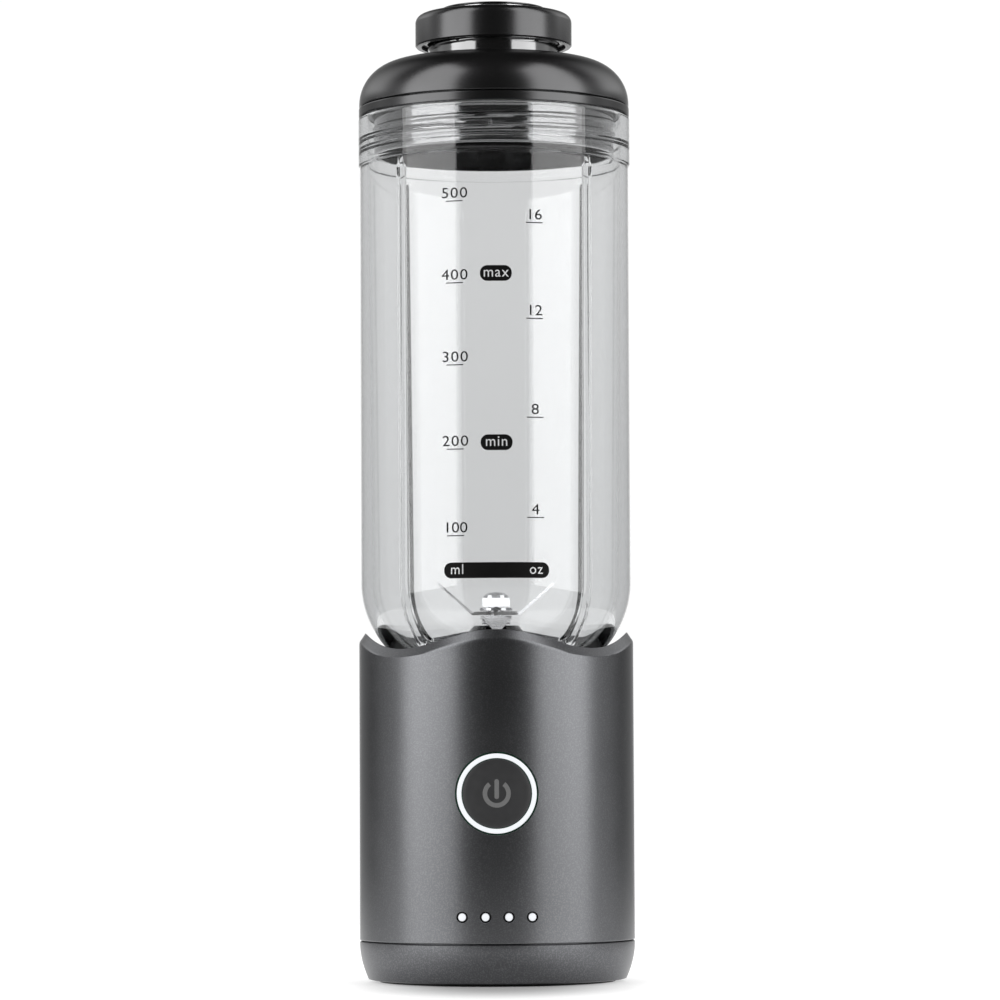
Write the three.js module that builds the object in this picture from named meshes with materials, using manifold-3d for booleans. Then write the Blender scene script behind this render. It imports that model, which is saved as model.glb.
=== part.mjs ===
// Portable blender: a clear cup with a screw lid and a spout cap, on a cordless motor base.
// Millimetres, +Z up. The origin is the centre of the foot's underside, and the power button faces -Y.

import * as THREE from 'three';
import { mergeVertices } from 'three/addons/utils/BufferGeometryUtils.js';
import Module from 'manifold-3d';

const wasm = await Module();
wasm.setup();

// ---------------------------------------------------------------- driving dimensions

const GAP = 0.3;                    // clearance left between pieces that touch
const RIM_SIDES = 32;               // facets round the large shells
const SIDES = 24;                   // facets round other large turned pieces
const SMALL_SIDES = 12;             // facets round screws, cells and bearings

// base
const BASE_R = 40;
const BASE_WALL = 2.2;
const SEAM_Z = 12;                  // line between bottom cover and housing
const RIM_Z = 98.8;                 // mean height of the wavy rim
const RIM_WAVE = 2.6;               // rim rises and falls by this much
const RIM_LOBES = 4;
const BEVEL = { height: 2.7, width: 1.8 };
const LEDGE_Z = 90.2;               // ledge inside the housing that the deck rests on
const COVER_TAPER = { depth: 2.9, height: 11, power: 1.85 };
const COVER_FLOOR = { low: 0.6, high: 3 };
const COVER_LIP = { inner: 36, outer: 37.4, top: 15.6 };
const FOOT = { inner: 28.5, outer: 34.5, height: 1.6, groove: 1.9 };
const POST = { at: 31.5, radius: 3.6, low: 6.2, high: 34, bore: 1.5 };

// button, lights and charging port
const BUTTON_Z = 54.7;
const BUTTON_R = 9.75;
const LIGHT_RING = { inner: 10.05, outer: 11.6, depth: 6 };
const DOTS = { count: 4, pitch: 6.85, radius: 1.08, hole: 1.4, z: 19.7 };
const PORT = { z: 22, width: 9, height: 3.3, wall: 0.4 };
const FLAP = { width: 16, height: 9 };

// motor, cells and boards
const MOTOR = { radius: 16.5, low: 15.3, high: 71.6, boss: 74, bore: 1.95 };
const SHAFT_R = 1.6;
const CELL = { radius: 9.2, length: 65, x: 26.4, low: 6.6 };
const BOARD = { y: 29.4, thickness: 1.6, low: 16.5 };
const MOUNT = { low: 72, high: 75, halfWidth: 12, halfLength: 29 };

// deck and lock ring
const DECK = { low: 76, floor: 78, socket: 30.6, wall: 2, shoulder: 90.8, edge: 93.4 };
const LOCK = { inner: 28.4, outer: 30.2, high: 87.5, notch: 83.6, notchAngle: 24 };

// cup
const JAR_R = 39.4;
const JAR_TOP = 252.4;
const BOTTOM_ARC = { r: 11.4, z: 116, outer: 28, inner: 24.5 };
const NECK = { outer: 28, inner: 25.4, low: 83.4, high: 93.5 };
const BORE = { low: 35.9, high: 37 };          // cup's inside radius, wider at the top
const COLLAR = { outer: 39.85, inner: 37.2, low: 238.5 };
const RIB = { count: 4, width: 2.6, depth: 1.6, top: 238.8, low: 98 };
const LUG = { count: 3, angle: 18, reach: 29.9, low: 84, high: 86.8 };

// one thread ridge on the cup and one on the lid: lead is the rise per turn
const LID_THREAD = { depth: 0.7, height: 1.8, lead: 5, turns: 0.9, z: 246, steps: 24 };

// blade unit
const BLADE_BASE_R = 25;
const HUB = { bearing: 6.9, seal: 5.8, mouth: 3.5, top: 103.2 };
const SPINDLE_R = 2.9;
const SPINDLE_TOP_R = 2.3;
const CLUTCH = { inner: 4.5, outer: 8.5, lugs: 4, lugAngle: 25, offset: 30 };
const BLADE = { width: 9, thickness: 1, lower: 105.1, upper: 106.4 };

// lid and cap
const BAND = { inner: 38.2, outer: 39.7, low: 252.7, high: 255.4 };
const DOME = { edge: 39.6, low: 255.7, cornerR: 12.6, cornerZ: 256.5, wall: 2, hole: 19.2 };
const PLUG = { outer: 35.2, inner: 34, low: 241.2, plate: 254.6, plateTop: 256.6, flange: 37.2 };
const SPOUT = { inner: 16.4, outer: 18.8, top: 279.6 };
const CAP = { radius: 23, low: 273.7, top: 283.2, corner: 2.5, wall: 1.8 };
const INLAY = { radius: 15.6, core: 12.8, top: 285 };

// ---------------------------------------------------------------- solids from three.js geometry

// Keeps only the positions of a closed geometry and shares its corners between its faces.
function weld(geometry) {
  const bare = geometry.clone();
  bare.deleteAttribute('normal');
  bare.deleteAttribute('uv');
  const merged = mergeVertices(bare, 1e-4);
  const index = merged.index.array;
  const kept = [];
  for (let i = 0; i < index.length; i += 3) {
    const [a, b, c] = [index[i], index[i + 1], index[i + 2]];
    if (a !== b && b !== c && c !== a) kept.push(a, b, c);
  }
  merged.setIndex(kept);
  return facingOut(merged);
}

// Turns the faces round when they point into the solid.
function facingOut(geometry) {
  const at = geometry.attributes.position;
  const index = geometry.index.array;
  const [a, b, c] = [new THREE.Vector3(), new THREE.Vector3(), new THREE.Vector3()];
  let volume = 0;
  for (let i = 0; i < index.length; i += 3) {
    a.fromBufferAttribute(at, index[i]);
    b.fromBufferAttribute(at, index[i + 1]);
    c.fromBufferAttribute(at, index[i + 2]);
    volume += a.dot(b.cross(c));
  }
  if (volume < 0) geometry.setIndex(Array.from(index).reverse());
  return geometry;
}

function toSolid(geometry) {
  const welded = weld(geometry);
  return new wasm.Manifold(new wasm.Mesh({
    numProp: 3,
    vertProperties: new Float32Array(welded.attributes.position.array),
    triVerts: new Uint32Array(welded.index.array),
  }));
}

function fromSolid(solid) {
  const mesh = solid.getMesh();
  const geometry = new THREE.BufferGeometry();
  geometry.setAttribute('position', new THREE.BufferAttribute(mesh.vertProperties, 3));
  geometry.setIndex(Array.from(mesh.triVerts));
  return geometry;
}

function cut(geometry, ...tools) {
  return fromSolid(tools.reduce((left, tool) => left.subtract(toSolid(tool)), toSolid(geometry)));
}

function join(geometry, ...others) {
  return fromSolid(others.reduce((sum, other) => sum.add(toSolid(other)), toSolid(geometry)));
}

function common(geometry, other) {
  return fromSolid(toSolid(geometry).intersect(toSolid(other)));
}

// A turned piece about the Z axis. The [radius, height] profile starts and ends on the axis, or it is
// a ring's section, which is closed here.
function turned(profile, sides = SIDES) {
  const onAxis = profile[0][0] === 0 && profile.at(-1)[0] === 0;
  const outline = onAxis ? profile : [...profile, profile[0]];
  const lathe = new THREE.LatheGeometry(outline.map(([r, z]) => new THREE.Vector2(r, z)), sides);
  lathe.rotateX(Math.PI / 2);
  return weld(lathe);
}

function disc(radius, low, high, sides = SMALL_SIDES) {
  return turned([[0, low], [radius, low], [radius, high], [0, high]], sides);
}

function ring(inner, outer, low, high, sides = SIDES) {
  return turned([[inner, low], [outer, low], [outer, high], [inner, high]], sides);
}

function block(x, y, z) {
  const box = new THREE.BoxGeometry(x[1] - x[0], y[1] - y[0], z[1] - z[0]);
  return box.translate((x[0] + x[1]) / 2, (y[0] + y[1]) / 2, (z[0] + z[1]) / 2);
}

// A round bar along Y, from y[0] to y[1], centred on (x, z).
function barAlongY(radius, y, x, z, sides = SMALL_SIDES) {
  const bar = new THREE.CylinderGeometry(radius, radius, y[1] - y[0], sides);
  return bar.translate(x, (y[0] + y[1]) / 2, z);
}

// Points of an arc about [r, z], in degrees from the outward direction.
function arc(centreR, centreZ, radius, from, to, steps) {
  return Array.from({ length: steps + 1 }, (_, i) => {
    const angle = THREE.MathUtils.degToRad(from + (to - from) * i / steps);
    return [centreR + radius * Math.cos(angle), centreZ + radius * Math.sin(angle)];
  });
}

// A flat sector of a ring, extruded from low to high and centred on an angle from +X.
function sector(inner, outer, low, high, centre, spread, steps = 4) {
  const shape = new THREE.Shape();
  const [from, to] = [centre - spread / 2, centre + spread / 2];
  arc(0, 0, outer, from, to, steps).forEach(([x, y], i) => (i ? shape.lineTo(x, y) : shape.moveTo(x, y)));
  arc(0, 0, inner, to, from, steps).forEach(([x, y]) => shape.lineTo(x, y));
  shape.closePath();
  const solid = new THREE.ExtrudeGeometry(shape, { depth: high - low, bevelEnabled: false });
  return solid.translate(0, 0, low);
}

// A rounded rectangle about the origin, as a shape.
function roundedRectangle(width, height, corner) {
  const shape = new THREE.Shape();
  const [w, h] = [width / 2, height / 2];
  shape.moveTo(w, corner - h);
  shape.absarc(w - corner, h - corner, corner, 0, Math.PI / 2);
  shape.absarc(corner - w, h - corner, corner, Math.PI / 2, Math.PI);
  shape.absarc(corner - w, corner - h, corner, Math.PI, Math.PI * 1.5);
  shape.absarc(w - corner, corner - h, corner, Math.PI * 1.5, Math.PI * 2);
  return shape;
}

// A rounded rectangle standing in the XZ plane, extruded along Y.
function slab(width, height, corner, y, z) {
  const options = { depth: y[1] - y[0], bevelEnabled: false, curveSegments: 5 };
  const solid = new THREE.ExtrudeGeometry(roundedRectangle(width, height, corner), options);
  return solid.rotateX(Math.PI / 2).translate(0, y[1], z);
}

// A thread ridge: a small section swept along a helix at the given radius.
function threadRidge(radius, { depth, height, lead, turns, z, steps }) {
  const points = Array.from({ length: steps + 1 }, (_, i) => {
    const turn = (i / steps - 0.5) * turns;
    const angle = 2 * Math.PI * turn;
    return new THREE.Vector3(radius * Math.cos(angle), radius * Math.sin(angle), z + turn * lead);
  });
  const path = new THREE.CatmullRomCurve3(points);
  const half = height / 2;
  const section = new THREE.Shape([
    [-half, -depth], [half, -depth], [half * 0.5, depth], [-half * 0.5, depth],
  ].map(([x, y]) => new THREE.Vector2(x, y)));
  const options = { steps, extrudePath: path, bevelEnabled: false };
  return new THREE.ExtrudeGeometry(section, options);
}

// A pan-head screw along Z with its shank pointing up. Negative length points it down.
function screw(x, y, headZ, length, headHeight = 1.3) {
  const up = Math.sign(length);
  const profile = [
    [0, headZ - up * headHeight], [2.2, headZ - up * headHeight], [2.6, headZ - up * 0.5],
    [2.6, headZ], [1.2, headZ], [1.2, headZ + length - up], [0.5, headZ + length], [0, headZ + length],
  ];
  return turned(profile, 12).translate(x, y, 0);
}

// ---------------------------------------------------------------- scene graph

const blender = new THREE.Group();

const finishes = {
  paint: { color: 0x56575a, roughness: 0.42, metalness: 0.55 },
  coverPlastic: { color: 0x4c4d50, roughness: 0.5, metalness: 0.35 },
  satinBlack: { color: 0x1b1b1c, roughness: 0.42, metalness: 0 },
  black: { color: 0x121213, roughness: 0.6, metalness: 0 },
  clear: { color: 0xe8edef, roughness: 0.05, metalness: 0, transparent: true, opacity: 0.3 },
  rubber: { color: 0x202021, roughness: 0.85, metalness: 0 },
  silicone: { color: 0x8e9092, roughness: 0.6, metalness: 0 },
  lamp: { color: 0xf6f7f8, roughness: 0.4, metalness: 0 },
  steel: { color: 0xb9bcc0, roughness: 0.28, metalness: 1 },
  zinc: { color: 0x9a9ca0, roughness: 0.4, metalness: 1 },
  board: { color: 0x1f4f35, roughness: 0.55, metalness: 0 },
  cell: { color: 0x2f6f9f, roughness: 0.4, metalness: 0 },
  coupling: { color: 0x2a2b2d, roughness: 0.5, metalness: 0 },
};

function add(name, geometry, finish) {
  const mesh = new THREE.Mesh(geometry, new THREE.MeshStandardMaterial(finishes[finish]));
  mesh.name = name;
  blender.add(mesh);
}

// ---------------------------------------------------------------- base shells

// Follows the rim's wave: every point above the given height rises and falls round the base.
function waved(geometry, above) {
  const at = geometry.attributes.position;
  for (let i = 0; i < at.count; i += 1) {
    if (at.getZ(i) > above) {
      const angle = Math.atan2(at.getX(i), -at.getY(i));
      at.setZ(i, at.getZ(i) + RIM_WAVE * Math.cos(RIM_LOBES * angle));
    }
  }
  return geometry;
}

function postPlaces() {
  return [45, 135, 225, 315].map((degrees) => {
    const angle = THREE.MathUtils.degToRad(degrees);
    return [POST.at * Math.cos(angle), POST.at * Math.sin(angle), degrees];
  });
}

function dotPlaces() {
  return Array.from({ length: DOTS.count }, (_, i) => (i - (DOTS.count - 1) / 2) * DOTS.pitch);
}

// Painted housing: a round shell with a wavy bevelled rim, a ledge for the deck and four screw posts.
function housing() {
  const inner = BASE_R - BASE_WALL;
  const edge = RIM_Z - BEVEL.height;
  const shell = waved(turned([
    [BASE_R, SEAM_Z + GAP / 2], [BASE_R, edge], [BASE_R - 0.2, edge + 0.5],
    [BASE_R - BEVEL.width, RIM_Z - 0.2], [BASE_R - BEVEL.width - 0.2, RIM_Z],
    [inner, RIM_Z - 0.3], [inner, LEDGE_Z + 0.3], [inner - 1.1, LEDGE_Z],
    [inner - 1.1, LEDGE_Z - 1.4], [inner, LEDGE_Z - 2.6], [inner, SEAM_Z + GAP / 2],
  ], RIM_SIDES), edge - 0.5);
  const posts = [];
  const bores = [];
  postPlaces().forEach(([x, y, degrees]) => {
    const rib = block([POST.at, inner + 0.6], [-1.5, 1.5], [COVER_LIP.top + 0.6, POST.high]);
    posts.push(disc(POST.radius, POST.low, POST.high).translate(x, y, 0));
    posts.push(rib.rotateZ(THREE.MathUtils.degToRad(degrees)));
    bores.push(disc(POST.bore, POST.low - 1, POST.high - 8, 12).translate(x, y, 0));
  });
  const holes = [
    barAlongY(LIGHT_RING.outer + GAP, [-BASE_R - 2, -BASE_R + 7], 0, BUTTON_Z, SIDES),
    slab(FLAP.width + 2 * GAP, FLAP.height + 2 * GAP, 4, [BASE_R - 6, BASE_R + 2], PORT.z),
    ...dotPlaces().map((x) => barAlongY(DOTS.hole, [-BASE_R - 2, -BASE_R + 7], x, DOTS.z, 12)),
  ];
  return cut(join(shell, ...posts), ...bores, ...holes);
}

// Bottom cover: a shallow dish that tapers in towards the table, with a lip up inside the housing.
function bottomCover() {
  const side = Array.from({ length: 6 }, (_, i) => {
    const z = 0.9 + (COVER_TAPER.height - 0.9) * i / 5;
    return [BASE_R - COVER_TAPER.depth * (1 - z / COVER_TAPER.height) ** COVER_TAPER.power, z];
  });
  const dish = turned([
    [0, COVER_FLOOR.low], [FOOT.inner - GAP, COVER_FLOOR.low], [FOOT.inner - GAP, FOOT.groove],
    [FOOT.outer + GAP, FOOT.groove], [FOOT.outer + GAP, COVER_FLOOR.low], [36.8, COVER_FLOOR.low],
    ...side, [BASE_R, SEAM_Z - GAP / 2], [COVER_LIP.outer, SEAM_Z - GAP / 2],
    [COVER_LIP.outer, COVER_LIP.top], [COVER_LIP.inner, COVER_LIP.top],
    [COVER_LIP.inner, 5], [COVER_LIP.inner - 1.6, COVER_FLOOR.high], [0, COVER_FLOOR.high],
  ], RIM_SIDES);
  const bosses = postPlaces().map(([x, y]) => disc(4.4, COVER_FLOOR.high - 0.5, 5.7).translate(x, y, 0));
  const bores = postPlaces().flatMap(([x, y]) => [
    disc(POST.bore, 1, 7, 12).translate(x, y, 0),
    disc(3, 1, 3.7, 16).translate(x, y, 0),
  ]);
  return cut(join(dish, ...bosses), ...bores);
}

add('base_housing', housing(), 'paint');
add('bottom_cover', bottomCover(), 'coverPlastic');
add('foot_ring', ring(FOOT.inner, FOOT.outer, 0, FOOT.height), 'rubber');
postPlaces().forEach(([x, y], i) => add(`base_screw_${i + 1}`, screw(x, y, 3.5, 16), 'zinc'));

// ---------------------------------------------------------------- deck and lock ring

// Deck: closes the base and forms the socket that the cup's neck drops into.
function deck() {
  const outer = BASE_R - BASE_WALL - 0.4;
  const wall = DECK.socket + DECK.wall;
  const body = turned([
    [9.8, DECK.low], [wall, DECK.low], [wall, DECK.shoulder - 2.2], [outer, DECK.edge - 2.5],
    [outer, DECK.edge], [DECK.socket, DECK.shoulder], [DECK.socket, DECK.floor], [9.8, DECK.floor],
  ]);
  const pilots = [-25, 25].map((y) => disc(1.5, DECK.low - 1, DECK.floor - 0.5, 12).translate(0, y, 0));
  return cut(body, ...pilots);
}

// Lock ring: stands in the socket round the neck, with notches that the cup's lugs drop into.
function lockRing() {
  const notches = Array.from({ length: LUG.count }, (_, i) =>
    sector(LOCK.inner - 2, LOCK.outer + 2, LOCK.notch, LOCK.high + 2,
      -90 + i * 360 / LUG.count, LOCK.notchAngle));
  return cut(ring(LOCK.inner, LOCK.outer, DECK.floor + GAP, LOCK.high), ...notches);
}

add('deck', deck(), 'black');
add('lock_ring', lockRing(), 'coupling');

// ---------------------------------------------------------------- motor and drive

const MOTOR_SCREW_Y = 9;
const MOUNT_SCREW_Y = 25;

function motorCan() {
  const can = turned([
    [0, MOTOR.low], [MOTOR.radius, MOTOR.low], [MOTOR.radius, MOTOR.high - 1.5],
    [MOTOR.radius - 1.5, MOTOR.high], [5, MOTOR.high], [5, MOTOR.boss], [MOTOR.bore, MOTOR.boss],
    [MOTOR.bore, MOTOR.boss - 28], [0, MOTOR.boss - 28],
  ]);
  const holes = [-1, 1].map((side) => disc(1.5, MOTOR.high - 6.5, MOTOR.high + 1, 12)
    .translate(0, side * MOTOR_SCREW_Y, 0));
  return cut(can, ...holes);
}

function motorEndCap() {
  const body = turned([
    [0, 9.4], [4, 9.4], [4, 10.4], [14.6, 10.4], [15.8, 11.6],
    [15.8, MOTOR.low - GAP], [0, MOTOR.low - GAP],
  ], 20);
  const tabs = [-1, 1].map((side) => block([side * 9 - 1.2, side * 9 + 1.2], [-0.4, 0.4], [8.6, 11]));
  return join(body, ...tabs);
}

function motorMount() {
  const shape = roundedRectangle(MOUNT.halfWidth * 2, MOUNT.halfLength * 2, 6);
  const options = { depth: MOUNT.high - MOUNT.low, bevelEnabled: false, curveSegments: 4 };
  const plate = new THREE.ExtrudeGeometry(shape, options).translate(0, 0, MOUNT.low);
  const tools = [disc(5.4, MOUNT.low - 1, MOUNT.high + 1)];
  [-1, 1].forEach((side) => {
    tools.push(disc(1.5, MOUNT.low - 1, MOUNT.high + 1, 12).translate(0, side * MOTOR_SCREW_Y, 0));
    tools.push(disc(2.9, 73.4, MOUNT.high + 1, 16).translate(0, side * MOTOR_SCREW_Y, 0));
    tools.push(disc(1.5, MOUNT.low - 1, MOUNT.high + 1, 12).translate(0, side * MOUNT_SCREW_Y, 0));
  });
  return cut(plate, ...tools);
}

// One half of the dog clutch: a disc with four lugs standing up or hanging down.
function clutch(radius, disk, lugs, bore, turnBy) {
  const dogs = Array.from({ length: CLUTCH.lugs }, (_, i) => {
    const centre = turnBy + i * 360 / CLUTCH.lugs;
    return sector(CLUTCH.inner, CLUTCH.outer, lugs[0], lugs[1], centre, CLUTCH.lugAngle, 2);
  });
  return join(ring(bore, radius, disk[0], disk[1], 20), ...dogs);
}

add('motor_can', motorCan(), 'zinc');
add('motor_end_cap', motorEndCap(), 'black');
add('motor_mount', motorMount(), 'coupling');
[-1, 1].forEach((side, i) => {
  add(`motor_screw_${i + 1}`, screw(0, side * MOTOR_SCREW_Y, 73.6, -8), 'zinc');
  add(`mount_screw_${i + 1}`, screw(0, side * MOUNT_SCREW_Y, MOUNT.low - GAP, 5.6), 'zinc');
});
add('motor_shaft', disc(SHAFT_R, MOTOR.boss - 27, 79.4), 'steel');
add('drive_coupling', clutch(8.9, [75.4, 79.9], [79.4, 83.5], 1.9, 0), 'coupling');

// ---------------------------------------------------------------- cells, boards and port

// Cradle: one moulded block with pockets for the two cells and the motor's end.
function batteryCradle() {
  const reach = COVER_LIP.inner - 0.4;
  const envelope = turned([[0, 0], [34, COVER_FLOOR.high], [reach, 5.2], [reach, 20], [0, 20]]);
  const bar = common(block([-36, 36], [-12, 12], [COVER_FLOOR.high + GAP, 14]), envelope);
  const pockets = [-1, 1].map((side) =>
    disc(CELL.radius + 0.2, CELL.low - GAP, 20, 20).translate(side * CELL.x, 0, 0));
  return cut(bar, disc(16.1, 8.2, 20, 20), ...pockets);
}

function batteryCell(side) {
  const top = CELL.low + CELL.length;
  const cell = turned([
    [0, CELL.low], [CELL.radius - 0.6, CELL.low], [CELL.radius, CELL.low + 0.6],
    [CELL.radius, top - 1.8], [CELL.radius - 0.8, top - 1.2], [4, top - 1.2], [3, top], [0, top],
  ], 16);
  return cell.translate(side * CELL.x, 0, 0);
}

function chargePort() {
  const y = [BOARD.y - 1, BASE_R - 3.4];
  const shell = slab(PORT.width, PORT.height, 1.5, y, PORT.z);
  const mouth = slab(PORT.width - 2 * PORT.wall, PORT.height - 2 * PORT.wall, 1.1,
    [y[0] + 1.2, y[1] + 1], PORT.z);
  const tongue = block([-3.2, 3.2], [y[0] + 1, y[1] - 1], [PORT.z - 0.35, PORT.z + 0.35]);
  return join(cut(shell, mouth), tongue);
}

function chargeBoard() {
  const board = block([-14, 14], [BOARD.y, BOARD.y + BOARD.thickness], [BOARD.low, 42]);
  const parts = [
    block([-9, -3], [BOARD.y - 1.4, BOARD.y + 0.4], [29, 35]),
    block([3, 10], [BOARD.y - 2.2, BOARD.y + 0.4], [28, 35]),
    block([-4, 4], [BOARD.y - 1, BOARD.y + 0.4], [37, 40]),
  ];
  const window = slab(PORT.width + 2 * GAP, PORT.height + 2 * GAP, 1.6,
    [BOARD.y - 3, BOARD.y + 3], PORT.z);
  return cut(join(board, ...parts), window);
}

function controlBoard() {
  const board = block([-18, 18], [-BOARD.y - BOARD.thickness, -BOARD.y], [BOARD.low, 70]);
  const chips = [
    block([-5, 5], [-BOARD.y - 0.4, -BOARD.y + 1.6], [24, 34]),
    block([-13, -8], [-BOARD.y - 0.4, -BOARD.y + 2.4], [42, 54]),
    block([8, 14], [-BOARD.y - 0.4, -BOARD.y + 1.4], [40, 50]),
    ...dotPlaces().map((x) => block([x - 0.8, x + 0.8],
      [-BOARD.y - BOARD.thickness - 0.8, -BOARD.y - 0.4], [DOTS.z - 0.8, DOTS.z + 0.8])),
  ];
  return join(board, ...chips);
}

function indicatorLens() {
  const bar = block([-13, 13], [-35.3, -33.2], [DOTS.z - 2, DOTS.z + 2]);
  const pins = dotPlaces().map((x) => barAlongY(DOTS.radius, [-BASE_R - 1, -34], x, DOTS.z, 12));
  return common(join(bar, ...pins), disc(BASE_R - 0.05, 0, 30, RIM_SIDES));
}

function lightRing() {
  const y = [-BASE_R - 1, -BASE_R + LIGHT_RING.depth];
  const tube = cut(
    barAlongY(LIGHT_RING.outer, y, 0, BUTTON_Z, SIDES),
    barAlongY(LIGHT_RING.inner, [y[0] - 1, y[1] + 1], 0, BUTTON_Z, SIDES),
  );
  return common(tube, disc(BASE_R, 30, 80, RIM_SIDES));
}

// Button: a round cap whose face follows the base, with a stem towards the switch.
function powerButton() {
  const face = common(
    barAlongY(BUTTON_R, [-BASE_R - 1, -36.2], 0, BUTTON_Z, SIDES),
    disc(BASE_R - 0.4, 30, 80, RIM_SIDES),
  );
  return join(face, barAlongY(2, [-36.6, -34.9], 0, BUTTON_Z));
}

function tactSwitch() {
  const face = -BOARD.y - BOARD.thickness;
  const body = block([-3, 3], [face - 1.7, face - GAP], [BUTTON_Z - 3, BUTTON_Z + 3]);
  return join(body, barAlongY(1.6, [face - 2.4, face - 1.4], 0, BUTTON_Z, 16));
}

// Rubber flap in the back of the housing, over the charging port.
function portFlap() {
  const plug = slab(FLAP.width, FLAP.height, 3.7, [BASE_R - 4, BASE_R + 1], PORT.z);
  const skin = ring(BASE_R - BASE_WALL, BASE_R, 0, 40, RIM_SIDES);
  return common(plug, skin);
}

add('battery_cradle', batteryCradle(), 'black');
add('battery_cell_left', batteryCell(-1), 'cell');
add('battery_cell_right', batteryCell(1), 'cell');
add('control_board', controlBoard(), 'board');
add('tact_switch', tactSwitch(), 'zinc');
add('light_ring', lightRing(), 'lamp');
add('indicator_lens', indicatorLens(), 'lamp');
add('power_button', powerButton(), 'satinBlack');
add('charge_board', chargeBoard(), 'board');
add('charge_port', chargePort(), 'steel');
add('port_flap', portFlap(), 'rubber');
add('interlock_sensor', block([20, 24], [10.5, 13.5], [73.9, 75.7]), 'black');

// ---------------------------------------------------------------- cup

function jarWall() {
  const arcEnd = (radius, reach) =>
    -THREE.MathUtils.radToDeg(Math.acos((reach - BOTTOM_ARC.r) / radius));
  const outside = arc(BOTTOM_ARC.r, BOTTOM_ARC.z, BOTTOM_ARC.outer,
    arcEnd(BOTTOM_ARC.outer, NECK.outer), 0, 6);
  const inside = arc(BOTTOM_ARC.r, BOTTOM_ARC.z, BOTTOM_ARC.inner,
    0, arcEnd(BOTTOM_ARC.inner, NECK.inner), 5);
  return turned([
    [NECK.outer, NECK.low], ...outside, [JAR_R, COLLAR.low - 0.4], [COLLAR.outer, COLLAR.low],
    [COLLAR.outer, JAR_TOP - 0.4], [COLLAR.outer - 0.4, JAR_TOP], [COLLAR.inner + 0.4, JAR_TOP],
    [COLLAR.inner, JAR_TOP - 0.4], [COLLAR.inner, COLLAR.low + 1], [BORE.high, COLLAR.low],
    ...inside, [NECK.inner, NECK.low],
  ], RIM_SIDES);
}

// One upright rib on the inside of the cup: it follows the wall and the rounded bottom.
function jarRib(degrees) {
  const bottom = arc(BOTTOM_ARC.r, BOTTOM_ARC.z, BOTTOM_ARC.inner - RIB.depth, 0, -50, 4);
  const bury = arc(BOTTOM_ARC.r, BOTTOM_ARC.z, BOTTOM_ARC.inner + 1, -50, 0, 4);
  const outline = [
    [BORE.high - RIB.depth, RIB.top - 1.5], ...bottom, ...bury, [BORE.high + 1, RIB.top],
    [BORE.high - RIB.depth + 0.6, RIB.top],
  ];
  const shape = new THREE.Shape(outline.map(([r, z]) => new THREE.Vector2(r, z)));
  const rib = new THREE.ExtrudeGeometry(shape, { depth: RIB.width, bevelEnabled: false });
  rib.translate(0, 0, -RIB.width / 2).rotateX(Math.PI / 2);
  return rib.rotateZ(THREE.MathUtils.degToRad(degrees));
}

function jar() {
  const ribs = Array.from({ length: RIB.count }, (_, i) => jarRib(45 + i * 360 / RIB.count));
  const lugs = Array.from({ length: LUG.count }, (_, i) =>
    sector(NECK.outer - 1, LUG.reach, LUG.low, LUG.high, -90 + i * 360 / LUG.count, LUG.angle));
  return join(jarWall(), ...ribs, ...lugs, threadRidge(COLLAR.inner, LID_THREAD));
}

// Blade base: the black plug screwed into the neck, with the bearings' bore up its middle.
function bladeBase() {
  const body = turned([
    [12.5, 79.8], [27.6, 79.8], [27.6, 82], [BLADE_BASE_R, 82], [BLADE_BASE_R, 94.6], [22, 93.6],
    [13, 94.4], [8.8, 100.5], [6.5, HUB.top], [HUB.mouth, HUB.top],
    [HUB.mouth, 102.3], [HUB.seal, 102.3], [HUB.seal, 99.4], [HUB.bearing, 99.4],
    [HUB.bearing, 88.9], [12.5, 88.9],
  ]);
  const magnetPocket = disc(2.1, 78, 81.3, 16).translate(21.5, 11.7, 0);
  return cut(body, magnetPocket);
}

// Two bearings of one size, one above the other.
function bearing(low) {
  return turned([
    [3.2, low], [4.2, low], [6.6, low + 0.4], [6.6, low + 4.4], [4.2, low + 4.4], [3.2, low + 4.4],
  ], 20);
}

add('jar', jar(), 'clear');
add('blade_base', bladeBase(), 'black');
add('blade_gasket', ring(25.9, 27.4, 82.3, 83.1), 'silicone');
add('bearing_lower', bearing(89.3), 'steel');
add('bearing_upper', bearing(94.6), 'steel');
add('shaft_seal', ring(3.2, 5.5, 99.7, 102, 24), 'silicone');
add('interlock_magnet', disc(1.8, 79.9, 81, 16).translate(21.5, 11.7, 0), 'steel');

// ---------------------------------------------------------------- blades

// A two-armed blade: its side view, bent up or down, cut to a tapering outline seen from above.
function bladePair(z, bendAt, tip, rise, degrees) {
  const side = new THREE.Shape([
    [-tip, rise], [-bendAt, 0], [bendAt, 0], [tip, rise],
    [tip, rise + BLADE.thickness], [bendAt, BLADE.thickness],
    [-bendAt, BLADE.thickness], [-tip, rise + BLADE.thickness],
  ].map(([x, y]) => new THREE.Vector2(x, y)));
  const strip = new THREE.ExtrudeGeometry(side, { depth: 14, bevelEnabled: false });
  strip.translate(0, 0, -7).rotateX(Math.PI / 2);
  const half = BLADE.width / 2;
  const outline = new THREE.Shape([
    [6, -half], [tip - 0.4, -0.6], [tip, 0.4], [8, half],
    [-6, half], [0.4 - tip, 0.6], [-tip, -0.4], [-8, -half],
  ].map(([x, y]) => new THREE.Vector2(x, y)));
  const plan = new THREE.ExtrudeGeometry(outline, { depth: 60, bevelEnabled: false }).translate(0, 0, -30);
  const blade = cut(common(strip, plan), disc(SPINDLE_TOP_R + GAP, -5, 5, 16));
  return blade.rotateZ(THREE.MathUtils.degToRad(degrees)).translate(0, 0, z);
}

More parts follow.
